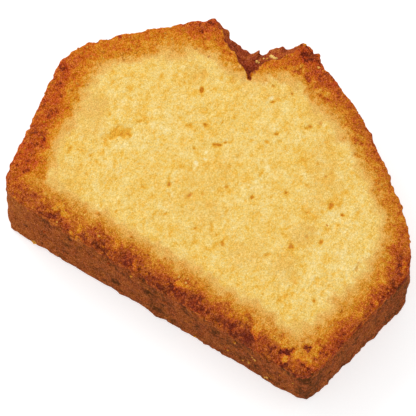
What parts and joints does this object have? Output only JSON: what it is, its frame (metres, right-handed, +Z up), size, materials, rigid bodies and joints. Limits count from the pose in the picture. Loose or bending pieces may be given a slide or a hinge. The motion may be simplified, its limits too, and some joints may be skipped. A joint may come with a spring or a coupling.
{
  "type": "loaf cake slice",
  "caption": "Slice of loaf cake lying flat, to be served or set in a scene: fine yellow crumb on the cut face, browned tin-baked base and walls, and a domed top crust with a deep split.",
  "frame": {"origin": "under the middle of the slice's box, on the plane of the lower cut face that it lies on", "axes": "+X across the loaf, along its flat base; +Y from the base to the domed crown; +Z up, through the slice's thickness to the upper cut face"},
  "size_m": [0.0854, 0.0618, 0.0191],
  "materials": {
    "baked_cake": "matte pale yellow crumb, browned through gold and orange to reddish brown at the crust"
  },
  "bodies": {
    "root": {"cake_slice": "baked_cake"}
  },
  "joints": []
}
